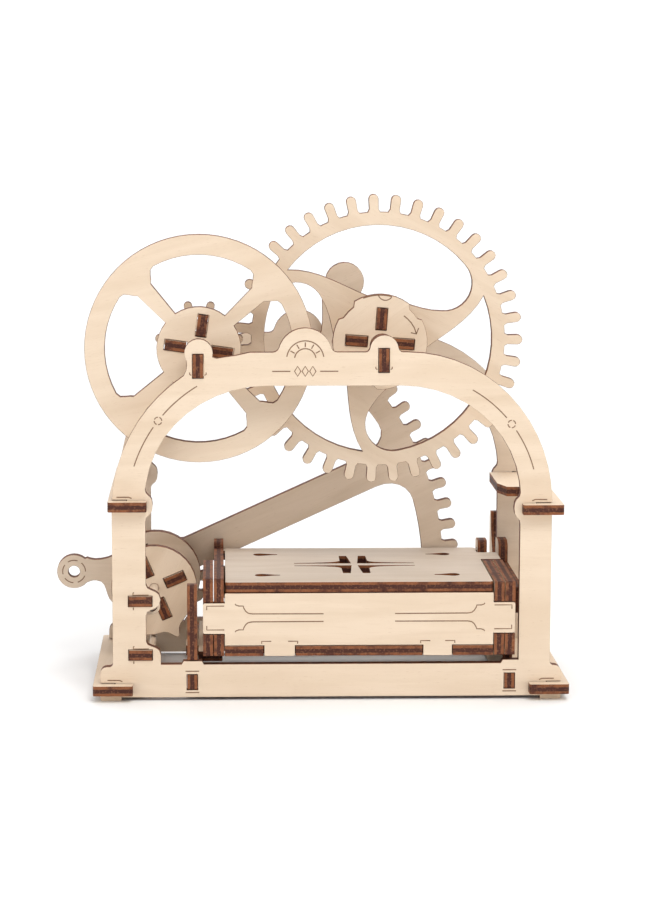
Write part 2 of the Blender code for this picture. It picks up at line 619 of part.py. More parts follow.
def build_wheel(wheel):
    windows = [turned(wheel_window(), 90 * k + WINDOW_TURN) for k in range(4)]
    loops = [circle((0, 0), WHEEL_R, 72)] + windows + [circle((0, 0), AXLE_R + RUN)]
    plate("hand_wheel", loops + cross_slots_at(WHEEL_TURN, SPACER[1]), FRONT, (0, Y_WHEEL, 0), wheel)
    phase = meshed_phase(WHEEL_AXIS, WHEEL_PINION_TEETH, GEAR_AXIS, BIG_TEETH, BIG_PHASE, CRANK_MODULE)
    root = math.dist(WHEEL_AXIS, GEAR_AXIS) - BIG_TIP_R - 0.4
    tip = CRANK_MODULE * WHEEL_PINION_TEETH / 2 + 1.6
    teeth = gear_outline(WHEEL_PINION_TEETH, phase, root, tip, PINION_TOOTH_WIDTH)
    loops = [teeth, circle((0, 0), AXLE_R + RUN)] + cross_slots_at(WHEEL_TURN, TONGUE_R)
    plate("wheel_pinion", loops, FRONT, (0, Y_BIG_GEAR, 0), wheel)
    shoulder = Y_BIG_GEAR - GAP
    profile = [(SPACER[0], Y_WHEEL - PROUD, 0.3), (SPACER[1], Y_WHEEL - PROUD, 0.3),
               (SPACER[1], shoulder, 0), (TONGUE_R, shoulder, 0),
               (TONGUE_R, Y_BIG_GEAR + T + PROUD, 0.3), (SPACER[0], Y_BIG_GEAR + T + PROUD, 0.3)]
    spacers("wheel", WHEEL_TURN, wheel, profile)


def gear_window():
    """One comma-shaped window of the big gear: a round lobe at one end and a point at the other."""
    lobe = polar(BIG_RIM_INNER_R - 9.0, 40.0)
    outer = arc((0, 0), BIG_RIM_INNER_R, 142.5, 40.5, 16)
    round_end = arc(lobe, 9.0, 40.5, -95.0, 12)[1:]
    hub_side = curve(round_end[-1], (12.0, 9.2), (5.0, 14.9), (-3.5, 14.3), 8)[1:]
    blade_side = curve((-3.5, 14.3), (-11.0, 17.2), (-20.0, 23.2), outer[0], 8)[1:-1]
    return outer + round_end + hub_side + blade_side


def cam_outline():
    """A disc whose edge steps in and out in shallow scallops."""
    steps = ((-20, 28, 15.4), (32, 48, 14.3), (53, 122, 15.6), (127, 146, 14.2), (151, 218, 15.3),
             (223, 262, 14.4), (267, 336, 15.4))
    outline = []
    for start, end, radius in steps:
        outline += arc((0, 0), radius, start, end, max(2, (end - start) // 8))
    return outline


def pinion_socket():
    """The plus-shaped hole that the four long tails fill."""
    reach, half = TAIL[1] + SLIP, T / 2 + SLIP
    arm = [(reach, -half), (reach, half)]
    inner = (half, half)
    outline = []
    for k in range(4):
        outline += turned(arm + [inner], GEAR_TURN + 90 * k)
    return outline


def build_gear(gear):
    teeth = gear_outline(BIG_TEETH, BIG_PHASE, BIG_ROOT_R, BIG_TIP_R)
    windows = [turned(gear_window(), 120 * k) for k in range(3)]
    bore = circle((0, 0), AXLE_R + RUN)
    slots = cross_slots_at(GEAR_TURN, SPACER[1])
    plate("big_gear", [teeth] + windows + [bore] + slots, FRONT, (0, Y_BIG_GEAR, 0), gear)
    plate("cam_disc", [cam_outline(), bore] + slots, FRONT, (0, Y_CAM, 0), gear)
    phase = meshed_phase(GEAR_AXIS, DRIVE_PINION_TEETH, PIVOT_AXIS, SECTOR_TEETH, SECTOR_PHASE,
                         SECTOR_MODULE)
    root = math.dist(PIVOT_AXIS, GEAR_AXIS) - SECTOR_TIP_R - 0.3
    tip = SECTOR_MODULE * DRIVE_PINION_TEETH / 2 + 2.0
    teeth = gear_outline(DRIVE_PINION_TEETH, phase, root, tip, PINION_TOOTH_WIDTH)
    plate("drive_pinion", [teeth, pinion_socket()], FRONT, (0, Y_SECTOR, 0), gear)
    front, shoulder, end = Y_CAM - PROUD, Y_BIG_GEAR + T + GAP, Y_SECTOR + T + PROUD
    profile = [(SPACER[0], front, 0.3), (SPACER[1], front, 0.3), (SPACER[1], shoulder + TAIL_STEP, 0.6),
               (TAIL[1], shoulder + TAIL_STEP, 0), (TAIL[1], end, 0.3), (TAIL[0], end, 0.3),
               (TAIL[0], shoulder, 0), (SPACER[0], shoulder, 0)]
    spacers("gear", GEAR_TURN, gear, profile)


def hub_disc_outline():
    """The hub's front disc, with a pointed fin beside its wavy lower edge."""
    disc = arc((0, 0), HUB_DISC_R, -42, 232, 26)
    lower = curve(disc[-1], (-7.2, -12.6), (-6.4, -15.8), (-3.0, -16.0), 4)[1:]
    lower += curve((-3.0, -16.0), (1.6, -16.0), (2.6, -14.6), (4.6, -15.2), 4)[1:]
    fin = curve((4.6, -15.2), (6.2, -15.8), (6.8, -16.8), (8.1, -16.7), 4)[1:]
    return disc + lower + fin + [(8.5, -15.9), (8.3, -13.4), (8.9, -12.0)]


def lever_outline():
    """The disc with the ring arm that the finger pulls, to the left."""
    disc = arc((0, 0), LEVER_DISC_R, -122, 148, 26)
    top = curve(disc[-1], (-14.4, 6.4), (-18.0, 5.6), (-20.7, 5.6), 4)[1:]
    ring = arc(RING, RING_R, 50, 318, 20)
    neck = curve(top[-1], (-23.0, 5.6), (-23.4, 6.8), ring[0], 3)[1:-1]
    low = curve(ring[-1], (-22.4, -1.9), (-21.8, -1.5), (-20.4, -1.6), 3)[1:]
    heel = curve(low[-1], (-17.4, -1.8), (-17.4, -4.0), (-16.5, -6.6), 4)[1:]
    tail = curve(heel[-1], (-16.0, -8.6), (-14.6, -10.2), (-11.6, -10.4), 4)[1:]
    return disc + top + neck + ring + low + heel + tail


def arm_plate_outline():
    """A disc with a short blunt arm to the right."""
    disc = arc((0, 0), 14.9, 2, 322, 28)
    tip = curve((15.4, -9.4), (17.2, -7.4), (18.9, -4.0), (18.8, 0.4), 5)
    return disc + [(13.2, -10.4)] + tip + [(18.3, 1.4)]


def sector_outline():
    """The toothed sector: rim, straight arm, hub disc and the knob at its upper end."""
    pitch = 2 * math.pi / SECTOR_TEETH
    outline = []
    for i in range(SECTOR_LOW_TOOTH, SECTOR_HIGH_TOOTH + 1):
        outline += tooth_gap(SECTOR_PHASE + (i - 0.5) * pitch, pitch, SECTOR_ROOT_R)
        outline += finger_tooth(SECTOR_PHASE + i * pitch, SECTOR_ROOT_R, SECTOR_TIP_R)
    top = SECTOR_PHASE + (SECTOR_HIGH_TOOTH + 0.5) * pitch
    outline += tooth_gap(top, pitch, SECTOR_ROOT_R)[:2]
    knob = polar(*KNOB)
    outline += curve(polar(100.0, 52.8), polar(103.4, 53.4), polar(108.4, 54.0), polar(113.0, 54.8), 5)
    outline += arc(knob, KNOB_R, KNOB[1] - 148, KNOB[1] + 128, 18)
    outline += curve(polar(109.6, 58.6), polar(106.0, 57.4), polar(101.4, 55.3), polar(98.4, 55.4), 4)
    outline += [polar(94.4, 57.3)]
    upper, lower = arm_side(ARM_EDGES[1]), arm_side(ARM_EDGES[0])
    rim = SECTOR_RIM_INNER_R
    outline += arc((0, 0), rim, 56.8, 35.3, 6)
    outline += curve(polar(rim, 33.6), polar(rim, 30.4), upper(86.6), upper(79), 6)
    outline += [upper(13.5)]
    outline += arc((0, 0), 13.2, 62, 350, 24)
    outline += [lower(14.5)]
    outline += curve(lower(81), lower(87.6), polar(rim, 19.0), polar(rim, 15.6), 6)
    outline += arc((0, 0), rim, 13.0, -2.8, 5)
    outline += [polar(rim + 1.4, -4.0), polar(SECTOR_ROOT_R - 1.3, -4.0)]
    return outline


def arm_side(offset):
    """A function that gives the point at a distance along one side of the sector's arm."""
    angle = math.radians(ARM_ANGLE)
    along, across = (math.cos(angle), math.sin(angle)), (-math.sin(angle), math.cos(angle))
    return lambda r: (r * along[0] + offset * across[0], r * along[1] + offset * across[1])


def build_hub(hub):
    bore = circle((0, 0), AXLE_R + RUN)
    slots = cross_slots_at(HUB_TURN, SPACER[1])
    plate("hub_front_disc", [hub_disc_outline(), bore] + slots, FRONT, (0, Y_HUB_DISC, 0), hub)
    eye = circle(RING, 2.0)
    plate("hub_lever", [lever_outline(), bore, eye] + slots, FRONT, (0, Y_LEVER, 0), hub)
    eye = circle((15.4, -4.2), 1.7)
    plate("hub_arm_plate", [arm_plate_outline(), bore, eye] + slots, FRONT, (0, Y_ARM_PLATE, 0), hub)
    plate("sector_gear", [sector_outline(), bore] + slots, FRONT, (0, Y_SECTOR, 0), hub)
    profile = [(SPACER[0], Y_HUB_DISC - PROUD, 0.3), (SPACER[1], Y_HUB_DISC - PROUD, 0.3),
               (SPACER[1], Y_SECTOR + T + PROUD, 0.3), (SPACER[0], Y_SECTOR + T + PROUD, 0.3)]
    spacers("hub", HUB_TURN, hub, profile)


# ---------------------------------------------------------------- box


def end_ply(name, x, frame, top, back, ear=False, step=None):
    """One end plate of the box, in (y, z). The front and back panels' tabs lie in its notches."""
    front = BOX_FRONT_Y
    notch = front + T + GAP
    corners = [(front, BOX_LOW, 0.4), (back, BOX_LOW, 0.4)]
    holes = []
    if ear:
        rear = BACK_Y - GAP
        corners += [(back, TAB_LOW - GAP, 0), (rear, TAB_LOW - GAP, 0), (rear, BACK_TOP + GAP, 0),
                    (back, BACK_TOP + GAP, 0), (back, EAR_TOP, 2.2), (HINGE_Y - 3.7, EAR_TOP, 1.2),
                    (HINGE_Y - 3.7, step[1] if step else top, 0)]
        holes.append(circle((HINGE_Y, HINGE_Z), HINGE_HOLE_R))
    else:
        corners.append((back, step[1] if step else top, 0.8))
    if step:
        corners += [(step[0], step[1], 0), (step[0], top, 0.8)]
    corners += [(front, top, 0.6), (front, TAB_TOP + GAP, 0), (notch, TAB_TOP + GAP, 0),
                (notch, TAB_LOW - GAP, 0), (front, TAB_LOW - GAP, 0)]
    return plate(name, [rounded(corners)] + holes, SIDE, (x, 0, 0), frame)


def build_box(frame):
    inner_left = BOX_LEFT + PITCH + T          # faces that look into the tray
    inner_right = BOX_RIGHT - PITCH - T
    left_end, right_end = BOX_LEFT, BOX_RIGHT
    end = END_BACK
    step = (RIGHT_STEP_Y, PANEL_TOP - GAP)
    end_ply("left_outer_end", left_end, frame, LEFT_TOP, LEFT_OUTER_END)
    end_ply("left_inner_end", left_end + PITCH, frame, LEFT_TOP, end, ear=True)
    end_ply("right_inner_end", right_end - PITCH - T, frame, RIGHT_TOP, end, ear=True, step=step)
    end_ply("right_outer_end", right_end - T, frame, RIGHT_TOP, end - 3.0, step=step)

    x0, x1 = inner_left + GAP, inner_right - GAP
    low = BOX_LOW + T + GAP
    front = [(x0, low, 0)]
    for a, b in BOTTOM_TABS:
        front += [(a, low, 0), (a, BOX_LOW, 0.3), (b, BOX_LOW, 0.3), (b, low, 0)]
    front += [(x1, low, 0), (x1, TAB_LOW, 0), (right_end, TAB_LOW, 0.6), (right_end, TAB_TOP, 0.6),
              (x1, TAB_TOP, 0), (x1, PANEL_TOP, 0.3), (x0, PANEL_TOP, 0.3), (x0, TAB_TOP, 0),
              (left_end, TAB_TOP, 0.6), (left_end, TAB_LOW, 0.6), (x0, TAB_LOW, 0)]
    plate("box_front", [rounded(front)], FRONT, (0, BOX_FRONT_Y, 0), frame)

    tab_left, tab_right = left_end + PITCH, right_end - PITCH
    back = [(x0, BOX_LOW, 0), (x1, BOX_LOW, 0), (x1, TAB_LOW, 0), (tab_right, TAB_LOW, 0.4),
            (tab_right, BACK_TOP, 0.4), (tab_left, BACK_TOP, 0.4), (tab_left, TAB_LOW, 0.4),
            (x0, TAB_LOW, 0)]
    plate("box_back", [rounded(back)], FRONT, (0, BACK_Y, 0), frame)

    y0, y1 = BOX_FRONT_Y, BACK_Y - GAP
    bottom = [(x0, y0, 0)]
    for a, b in BOTTOM_TABS:
        deep = y0 + T + GAP
        bottom += [(a - GAP, y0, 0), (a - GAP, deep, 0), (b + GAP, deep, 0), (b + GAP, y0, 0)]
    bottom += [(x1, y0, 0), (x1, y1, 0), (x0, y1, 0)]
    plate("box_bottom", [rounded(bottom)], FLAT, (0, 0, BOX_LOW), frame)


def mirrored(points, x, y, side_x, side_y):
    """An outline placed about (x, y), turned over where a side is -1."""
    return [(x + side_x * px, y + side_y * py) for px, py in points]


def lid_tear():
    """A teardrop with its head at the origin and its tail along +X."""
    head = arc((0, 0), 2.2, 75, 285, 8)
    tail = curve(head[-1], (2.6, -1.5), (3.6, -0.6), (6.0, -0.5), 3)[1:]
    return head + tail + [(6.0, 0.5)] + curve((6.0, 0.5), (3.6, 0.6), (2.6, 1.5), head[0], 3)[1:-1]


def lid_wedge():
    """One quadrant of the lid's cross: two thin arms that swell where they meet."""
    along_x = curve((4.6, 6.6), (5.4, 4.2), (8.0, 3.2), (20.0, 2.7), 5)[1:]
    along_y = curve((2.0, 15.4), (1.5, 10.0), (1.3, 4.0), (1.0, 1.7), 3)[:-1]
    return along_x + [(20.0, 1.8), (1.0, 1.7)] + along_y[::-1] + [(4.5, 15.4), (4.6, 6.6)]


def build_lid(lid):
    """The lid in the hinge empty's frame: the hinge line is its Y = 0, Z = 0."""
    hinge_x = (BOX_LEFT + BOX_RIGHT) / 2
    left = BOX_LEFT + PITCH + T + 0.5 - hinge_x
    right = BOX_RIGHT - PITCH - T - 0.5 - hinge_x
    front, back = -HINGE_Y, LID_BACK - HINGE_Y
    tab = HINGE_TAB[0] / 2
    reach = T + 0.4
    step_y = RIGHT_STEP_Y + GAP - HINGE_Y
    wide = BOX_RIGHT - hinge_x - 0.4
    ear_front = -LID_EAR_ROOM
    outline = [(left, front, 1.0), (right, front, 1.0), (right, step_y, 0), (wide, step_y, 0.8),
               (wide, ear_front, 1.2), (right, ear_front, 0), (right, -tab, 0),
               (right + reach, -tab, 0.3), (right + reach, tab, 0.3), (right, tab, 0),
               (right, back, 1.2), (left, back, 1.2), (left, tab, 0), (left - reach, tab, 0.3),
               (left - reach, -tab, 0.3), (left, -tab, 0)]
    middle_y = (front + back) / 2
    holes = []
    for side_x in (-1, 1):
        for side_y in (-1, 1):
            holes.append(mirrored(lid_wedge(), 0, middle_y, side_x, side_y))
            tear_x, tear_y = side_x * LID_TEAR[0], middle_y + side_y * LID_TEAR[1]
            holes.append(mirrored(lid_tear(), tear_x, tear_y, -side_x, side_y))
    plate("lid_panel", [rounded(outline)] + holes, FLAT, (0, 0, LID_LOW - HINGE_Z), lid)


# ---------------------------------------------------------------- assembly

def main():
    for old in list(bpy.data.objects):
        bpy.data.objects.remove(old, do_unlink=True)
    frame = empty("frame", (-X_CENTRE, -Y_CENTRE, 0))
    wheel = empty("wheel_shaft", (WHEEL_AXIS[0], 0, WHEEL_AXIS[1]), frame)
    gear = empty("gear_shaft", (GEAR_AXIS[0], 0, GEAR_AXIS[1]), frame)
    hub = empty("hub_shaft", (PIVOT_AXIS[0], 0, PIVOT_AXIS[1]), frame)
    lid = empty("lid_hinge", ((BOX_LEFT + BOX_RIGHT) / 2, HINGE_Y, HINGE_Z), frame)
    build_arches(frame)
    build_side_plates(frame)
    build_cross_plates(frame)
    build_lid_guide(frame)
    build_bearings(frame)
    build_axles(frame)
    build_wheel(wheel)
    build_gear(gear)
    build_hub(hub)
    build_box(frame)
    build_lid(lid)


main()
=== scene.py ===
"""Looks for the hand-cranked plywood card box: laser-cut birch plywood, engraved lines, studio floor."""
import math

import bmesh
import bpy
from mathutils import Euler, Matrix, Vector


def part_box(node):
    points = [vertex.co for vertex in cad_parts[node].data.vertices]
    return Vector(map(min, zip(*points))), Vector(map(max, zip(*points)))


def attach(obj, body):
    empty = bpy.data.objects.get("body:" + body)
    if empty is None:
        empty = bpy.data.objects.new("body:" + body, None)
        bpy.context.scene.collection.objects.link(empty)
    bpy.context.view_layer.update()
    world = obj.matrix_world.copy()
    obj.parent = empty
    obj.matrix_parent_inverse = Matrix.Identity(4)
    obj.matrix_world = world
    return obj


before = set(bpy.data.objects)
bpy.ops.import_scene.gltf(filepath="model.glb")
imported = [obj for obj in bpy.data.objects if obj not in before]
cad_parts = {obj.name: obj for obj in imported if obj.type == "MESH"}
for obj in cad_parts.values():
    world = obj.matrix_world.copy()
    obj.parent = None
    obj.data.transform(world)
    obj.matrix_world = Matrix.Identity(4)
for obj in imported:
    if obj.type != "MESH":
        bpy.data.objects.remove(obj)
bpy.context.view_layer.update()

MM = 0.001
PLY = 3.2 * MM
ENGRAVE_LIFT = 0.025 * MM
ENGRAVE_WIDTH = 0.36 * MM

# Linear colours
BIRCH = ((0.77, 0.625, 0.48), (0.70, 0.55, 0.405), (0.55, 0.39, 0.255))
GREY_BIRCH = ((0.64, 0.545, 0.455), (0.575, 0.475, 0.38), (0.45, 0.345, 0.25))
# Birch darkened by painted shade, for parts that sit in the shadow of other parts
SHADE_PAINTED_BIRCH = ((0.70, 0.575, 0.455), (0.62, 0.495, 0.375), (0.48, 0.355, 0.245))
EDGE_OUTER = (0.235, 0.078, 0.028)
EDGE_CORE = (0.060, 0.014, 0.007)
EDGE_GLUE = (0.022, 0.007, 0.005)
EDGE_GLOW = (0.36, 0.16, 0.075)     # the warmer specks of a scorched edge
BURNT_LINE = (0.17, 0.085, 0.045)
BURNT_LINE_PALE = (0.26, 0.145, 0.08)
FLOOR_TONES = ((0.91, 0.91, 0.91), (0.93, 0.93, 0.93))

BEVEL_WIDTH = 0.11 * MM
BEVEL_FROM_ANGLE = 60               # degrees between two faces, above which their edge is bevelled
WORLD_LIGHT = 0.62
BACKDROP_GLOW = 0.3                 # the backdrop's own light, far behind the object
FLOOR_FRONT, SWEEP_START, SWEEP_RADIUS, BACKDROP_TOP = -2.2, 0.8, 1.2, 4.0   # metres
FLOOR_HALF_WIDTH = 4.0

CAMERA_OFFSET = (-35.7, -796.0, 194.2)   # from the arch's centre, its front face and the floor, in mm
PITCH_DOWN = 8.06
YAW_RIGHT = 1.27
SHIFT_RIGHT = 0.061                      # lens shift for half the turn, so level edges stay level
FOCAL_LENGTH = 101.1


def corners(node):
    """A node's lowest and highest corner at rest."""
    low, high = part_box(node)
    return Vector(low), Vector(high)


ARCH_LOW, ARCH_HIGH = corners("front_arch")
CENTRE_X = (ARCH_LOW.x + ARCH_HIGH.x) / 2


# ---------------------------------------------------------------- node helpers

def add(tree, kind, **settings):
    made = tree.nodes.new(kind)
    for key, value in settings.items():
        setattr(made, key, value)
    return made


def maths(tree, operation, first, second=None, third=None):
    made = add(tree, "ShaderNodeMath", operation=operation)
    for socket, value in zip(made.inputs, (first, second, third)):
        if value is None:
            continue
        if isinstance(value, (int, float)):
            socket.default_value = value
        else:
            tree.links.new(value, socket)
    return made.outputs[0]


def smooth_step(tree, value, low, high):
    """0 below low, 1 above high."""
    made = add(tree, "ShaderNodeMapRange", interpolation_type="SMOOTHSTEP")
    tree.links.new(value, made.inputs["Value"])
    made.inputs["From Min"].default_value = low
    made.inputs["From Max"].default_value = high
    return made.outputs["Result"]


def dot(tree, vector, axis):
    made = add(tree, "ShaderNodeVectorMath", operation="DOT_PRODUCT")
    tree.links.new(vector, made.inputs[0])
    made.inputs[1].default_value = axis
    return made.outputs["Value"]


def noise(tree, vector, detail=3.0, roughness=0.55, distortion=0.0):
    made = add(tree, "ShaderNodeTexNoise")
    tree.links.new(vector, made.inputs["Vector"])
    made.inputs["Scale"].default_value = 1.0
    made.inputs["Detail"].default_value = detail
    made.inputs["Roughness"].default_value = roughness
    made.inputs["Distortion"].default_value = distortion
    return made.outputs["Fac"]


def ramp(tree, value, stops):
    made = add(tree, "ShaderNodeValToRGB")
    tree.links.new(value, made.inputs["Fac"])
    elements = made.color_ramp.elements
    while len(elements) < len(stops):
        elements.new(0.5)
    for element, (place, colour) in zip(elements, stops):
        element.position = place
        element.color = (*colour, 1)
    return made.outputs["Color"]


def mix(tree, factor, first, second, blend="MIX"):
    made = add(tree, "ShaderNodeMix", data_type="RGBA", blend_type=blend)
    if isinstance(factor, float):
        made.inputs["Factor"].default_value = factor
    else:
        tree.links.new(factor, made.inputs["Factor"])
    for name, value in (("A", first), ("B", second)):
        socket = [s for s in made.inputs if s.name == name and s.type == "RGBA"][0]
        if isinstance(value, tuple):
            socket.default_value = (*value, 1)
        else:
            tree.links.new(value, socket)
    return [s for s in made.outputs if s.type == "RGBA"][0]


def grain_space(tree, coords, angles, stretch, offset):
    """Coordinates turned so that the grain runs along X, then stretched per axis."""
    turn = add(tree, "ShaderNodeMapping", vector_type="POINT")
    tree.links.new(coords, turn.inputs["Vector"])
    turn.inputs["Rotation"].default_value = angles
    scale = add(tree, "ShaderNodeMapping", vector_type="POINT")
    tree.links.new(turn.outputs["Vector"], scale.inputs["Vector"])
    scale.inputs["Scale"].default_value = stretch
    scale.inputs["Location"].default_value = offset
    return scale.outputs["Vector"]


# ---------------------------------------------------------------- materials

def wood_face(tree, coords, angles, offset, tones):
    """Planed birch: broad figure, fine fibres and short darker pores. Returns colour and height."""
    pale, middle, dark = tones
    figure = noise(tree, grain_space(tree, coords, angles, (22, 170, 170), offset), 3, 0.5, 0.6)
    fibres = noise(tree, grain_space(tree, coords, angles, (90, 2600, 2600), offset), 4, 0.65)
    pores = noise(tree, grain_space(tree, coords, angles, (420, 4200, 4200), offset), 2, 0.6)
    patches = noise(tree, grain_space(tree, coords, angles, (9, 26, 26), offset), 2, 0.5)
    base = ramp(tree, figure, ((0.30, middle), (0.62, pale)))
    base = mix(tree, smooth_step(tree, fibres, 0.50, 0.86), base, middle)
    base = mix(tree, smooth_step(tree, patches, 0.52, 0.80), base, middle)
    pore_mask = maths(tree, "MULTIPLY", smooth_step(tree, pores, 0.62, 0.78), 0.55)
    return mix(tree, pore_mask, base, dark), fibres


def wood_edge(tree, coords, axis, start, offset):
    """Laser-cut edge: scorched plies with dark glue lines and uneven soot."""
    across = maths(tree, "SUBTRACT", dot(tree, coords, axis), start)
    depth = maths(tree, "DIVIDE", across, PLY)
    wobble = noise(tree, grain_space(tree, coords, (0, 0, 0), (700, 700, 700), offset), 3, 0.6)
    depth = maths(tree, "ADD", depth, maths(tree, "MULTIPLY", maths(tree, "SUBTRACT", wobble, 0.5), 0.16))
    plies = ramp(tree, depth, ((0.0, EDGE_OUTER), (0.26, EDGE_OUTER), (0.33, EDGE_GLUE), (0.40, EDGE_CORE),
                               (0.58, EDGE_CORE), (0.65, EDGE_GLUE), (0.72, EDGE_OUTER)))
    soot = noise(tree, grain_space(tree, coords, (0, 0, 0), (260, 260, 260), offset), 4, 0.6)
    plies = mix(tree, smooth_step(tree, soot, 0.42, 0.70), plies, EDGE_CORE)
    glow = noise(tree, grain_space(tree, coords, (0, 0, 0), (1500, 1500, 1500), offset), 2, 0.5)
    return mix(tree, maths(tree, "MULTIPLY", smooth_step(tree, glow, 0.5, 0.8), 0.5), plies, EDGE_GLOW)


def plywood(name, axis, start, angles, tones, seed):
    """A plate's material: birch on the two faces across its thickness axis, scorched plies elsewhere."""
    made = bpy.data.materials.new(name)
    made.use_nodes = True
    tree = made.node_tree
    shader = tree.nodes["Principled BSDF"]
    place = add(tree, "ShaderNodeTexCoord")
    coords, normal = place.outputs["Object"], place.outputs["Normal"]
    offset = (seed * 3.7 % 29, seed * 5.3 % 31, seed * 2.9 % 23)
    face, fibres = wood_face(tree, coords, angles, offset, tones)
    edge = wood_edge(tree, coords, axis, start, offset)
    facing = maths(tree, "ABSOLUTE", dot(tree, normal, axis))
    on_face = smooth_step(tree, facing, 0.80, 0.96)
    tree.links.new(mix(tree, on_face, edge, face), shader.inputs["Base Color"])
    rough = maths(tree, "MULTIPLY_ADD", fibres, 0.22, 0.50)
    tree.links.new(rough, shader.inputs["Roughness"])
    bump = add(tree, "ShaderNodeBump")
    bump.inputs["Strength"].default_value = 0.25
    bump.inputs["Distance"].default_value = 0.05 * MM
    tree.links.new(fibres, bump.inputs["Height"])
    tree.links.new(bump.outputs["Normal"], shader.inputs["Normal"])
    shader.inputs["Specular IOR Level"].default_value = 0.32
    return made


def dowel_wood(name, seed):
    made = bpy.data.materials.new(name)
    made.use_nodes = True
    tree = made.node_tree
    shader = tree.nodes["Principled BSDF"]
    place = add(tree, "ShaderNodeTexCoord")
    offset = (seed, seed * 2, seed * 3)
    along_y = (0, 0, math.radians(90))
    # The dowels take the birch darkened by painted shade
    colour, fibres = wood_face(tree, place.outputs["Object"], along_y, offset, SHADE_PAINTED_BIRCH)
    tree.links.new(colour, shader.inputs["Base Color"])
    tree.links.new(maths(tree, "MULTIPLY_ADD", fibres, 0.2, 0.45), shader.inputs["Roughness"])
    return made


def burnt(name):
    """The scorched floor of an engraved line."""
    made = bpy.data.materials.new(name)
    made.use_nodes = True
    tree = made.node_tree
    shader = tree.nodes["Principled BSDF"]
    place = add(tree, "ShaderNodeTexCoord")
    grain = grain_space(tree, place.outputs["Object"], (0, 0, 0), (900, 900, 900), (0, 0, 0))
    soot = noise(tree, grain, 3, 0.6)
    colour = ramp(tree, soot, ((0.35, BURNT_LINE), (0.65, BURNT_LINE_PALE)))
    tree.links.new(colour, shader.inputs["Base Color"])
    tree.links.new(maths(tree, "MULTIPLY_ADD", soot, 0.2, 0.6), shader.inputs["Roughness"])
    return made


# The grain's direction on each plate, as the turn that brings it to X
ALONG_X = (0, 0, 0)
ALONG_Y = (0, 0, math.radians(-90))
ALONG_Z = (0, math.radians(90), 0)


def slanted(degrees):
    return (0, math.radians(degrees), 0)


GRAIN = {
    "hand_wheel": slanted(12), "big_gear": slanted(-28), "cam_disc": slanted(35),
    "hub_front_disc": slanted(60), "hub_lever": slanted(-4), "hub_arm_plate": slanted(30),
    "sector_gear": slanted(25), "wheel_pinion": slanted(70), "drive_pinion": slanted(-50),
    "left_base_plate": ALONG_Y, "right_base_plate": ALONG_Y, "left_shelf_plate": ALONG_Y,
    "right_shelf_plate": ALONG_Y, "left_inner_end": ALONG_Y, "left_outer_end": ALONG_Y,
    "right_inner_end": ALONG_Y, "right_outer_end": ALONG_Y, "left_cross_plate": ALONG_Y,
    "right_cross_plate": ALONG_Y, "lid_guide_plate": ALONG_Z, "box_ledge": ALONG_Y,
}
# The lever, arm plate, sector, drive pinion and back arch take the birch darkened by painted shade
TONES = {"lid_panel": GREY_BIRCH, "hub_lever": SHADE_PAINTED_BIRCH, "hub_arm_plate": SHADE_PAINTED_BIRCH,
         "sector_gear": SHADE_PAINTED_BIRCH, "drive_pinion": SHADE_PAINTED_BIRCH, "back_arch": SHADE_PAINTED_BIRCH}
SPACER_TURN = {"wheel": -8.0, "gear": -4.0, "hub": 23.0}
ROUND_RODS = ("wheel_axle", "gear_axle", "pivot_axle", "lower_tie_dowel")


def thickness_axis(node):
    """The unit vector across a plate, and how far along it the plate starts."""
    low, high = corners(node)
    if "_spacer_" in node:
        stack, _, number = node.split("_")
        turn = math.radians(SPACER_TURN[stack] + 90 * (int(number) - 1))
        axis = Vector((-math.sin(turn), 0, math.cos(turn)))
        return axis, axis.dot((low + high) / 2) - PLY / 2
    size = high - low
    thin = min(range(3), key=lambda i: size[i])
    axis = Vector([1.0 if i == thin else 0.0 for i in range(3)])
    return axis, low[thin]


def dress(seed, node, obj):
    """Gives a CAD node its material and a small scorched bevel round its cut edges."""
    if node in ROUND_RODS:
        made = dowel_wood(node + "_wood", seed)
    else:
        axis, start = thickness_axis(node)
        grain, tones = GRAIN.get(node, ALONG_X), TONES.get(node, BIRCH)
        made = plywood(node + "_ply", axis, start, grain, tones, seed)
    for slot in obj.material_slots:
        slot.material = made
    if node not in ROUND_RODS:
        weld = obj.modifiers.new("join_corners", "WELD")
        weld.merge_threshold = 0.002 * MM
        bevel = obj.modifiers.new("scorched_edge", "BEVEL")
        bevel.width = BEVEL_WIDTH
        bevel.segments = 1
        bevel.limit_method = "ANGLE"
        bevel.angle_limit = math.radians(BEVEL_FROM_ANGLE)


# ---------------------------------------------------------------- engraved lines

class Face:
    """A flat face that lines are engraved on: it turns drawing millimetres into places in space."""

    def __init__(self, node, side):
        self.low, self.high = corners(node)
        self.side = side

    def place(self, x, y):
        if self.side == "front":
            return Vector((CENTRE_X + x * MM, self.low.y - ENGRAVE_LIFT, y * MM))
        return Vector((CENTRE_X + x * MM, ARCH_LOW.y + y * MM, self.high.z + ENGRAVE_LIFT))


def ribbon(bm, face, points, width=ENGRAVE_WIDTH, closed=False):
    """A thin flat strip along the points, with mitred corners."""
    points = [Vector(p) for p in points]
    half = width / MM / 2
    count = len(points)
    sides = []
    for i, point in enumerate(points):
        before = points[(i - 1) % count] if closed or i > 0 else point
        after = points[(i + 1) % count] if closed or i < count - 1 else point
        along = ((point - before).normalized() + (after - point).normalized()).normalized()
        across = Vector((-along.y, along.x)) * half
        sides.append([bm.verts.new(face.place(*(point + shift))) for shift in (across, -across)])
    pairs = list(zip(sides, sides[1:]))
    if closed:
        pairs.append((sides[-1], sides[0]))
    for (a, b), (c, d) in pairs:
        bm.faces.new((a, c, d, b))


def arc(centre, radius, start, end, steps=16):
    points = []
    for i in range(steps + 1):
        angle = math.radians(start + (end - start) * i / steps)
        points.append((centre[0] + radius * math.cos(angle), centre[1] + radius * math.sin(angle)))
    return points


def circle(centre, radius, steps=28):
    return arc(centre, radius, 0, 360, steps)[:-1]


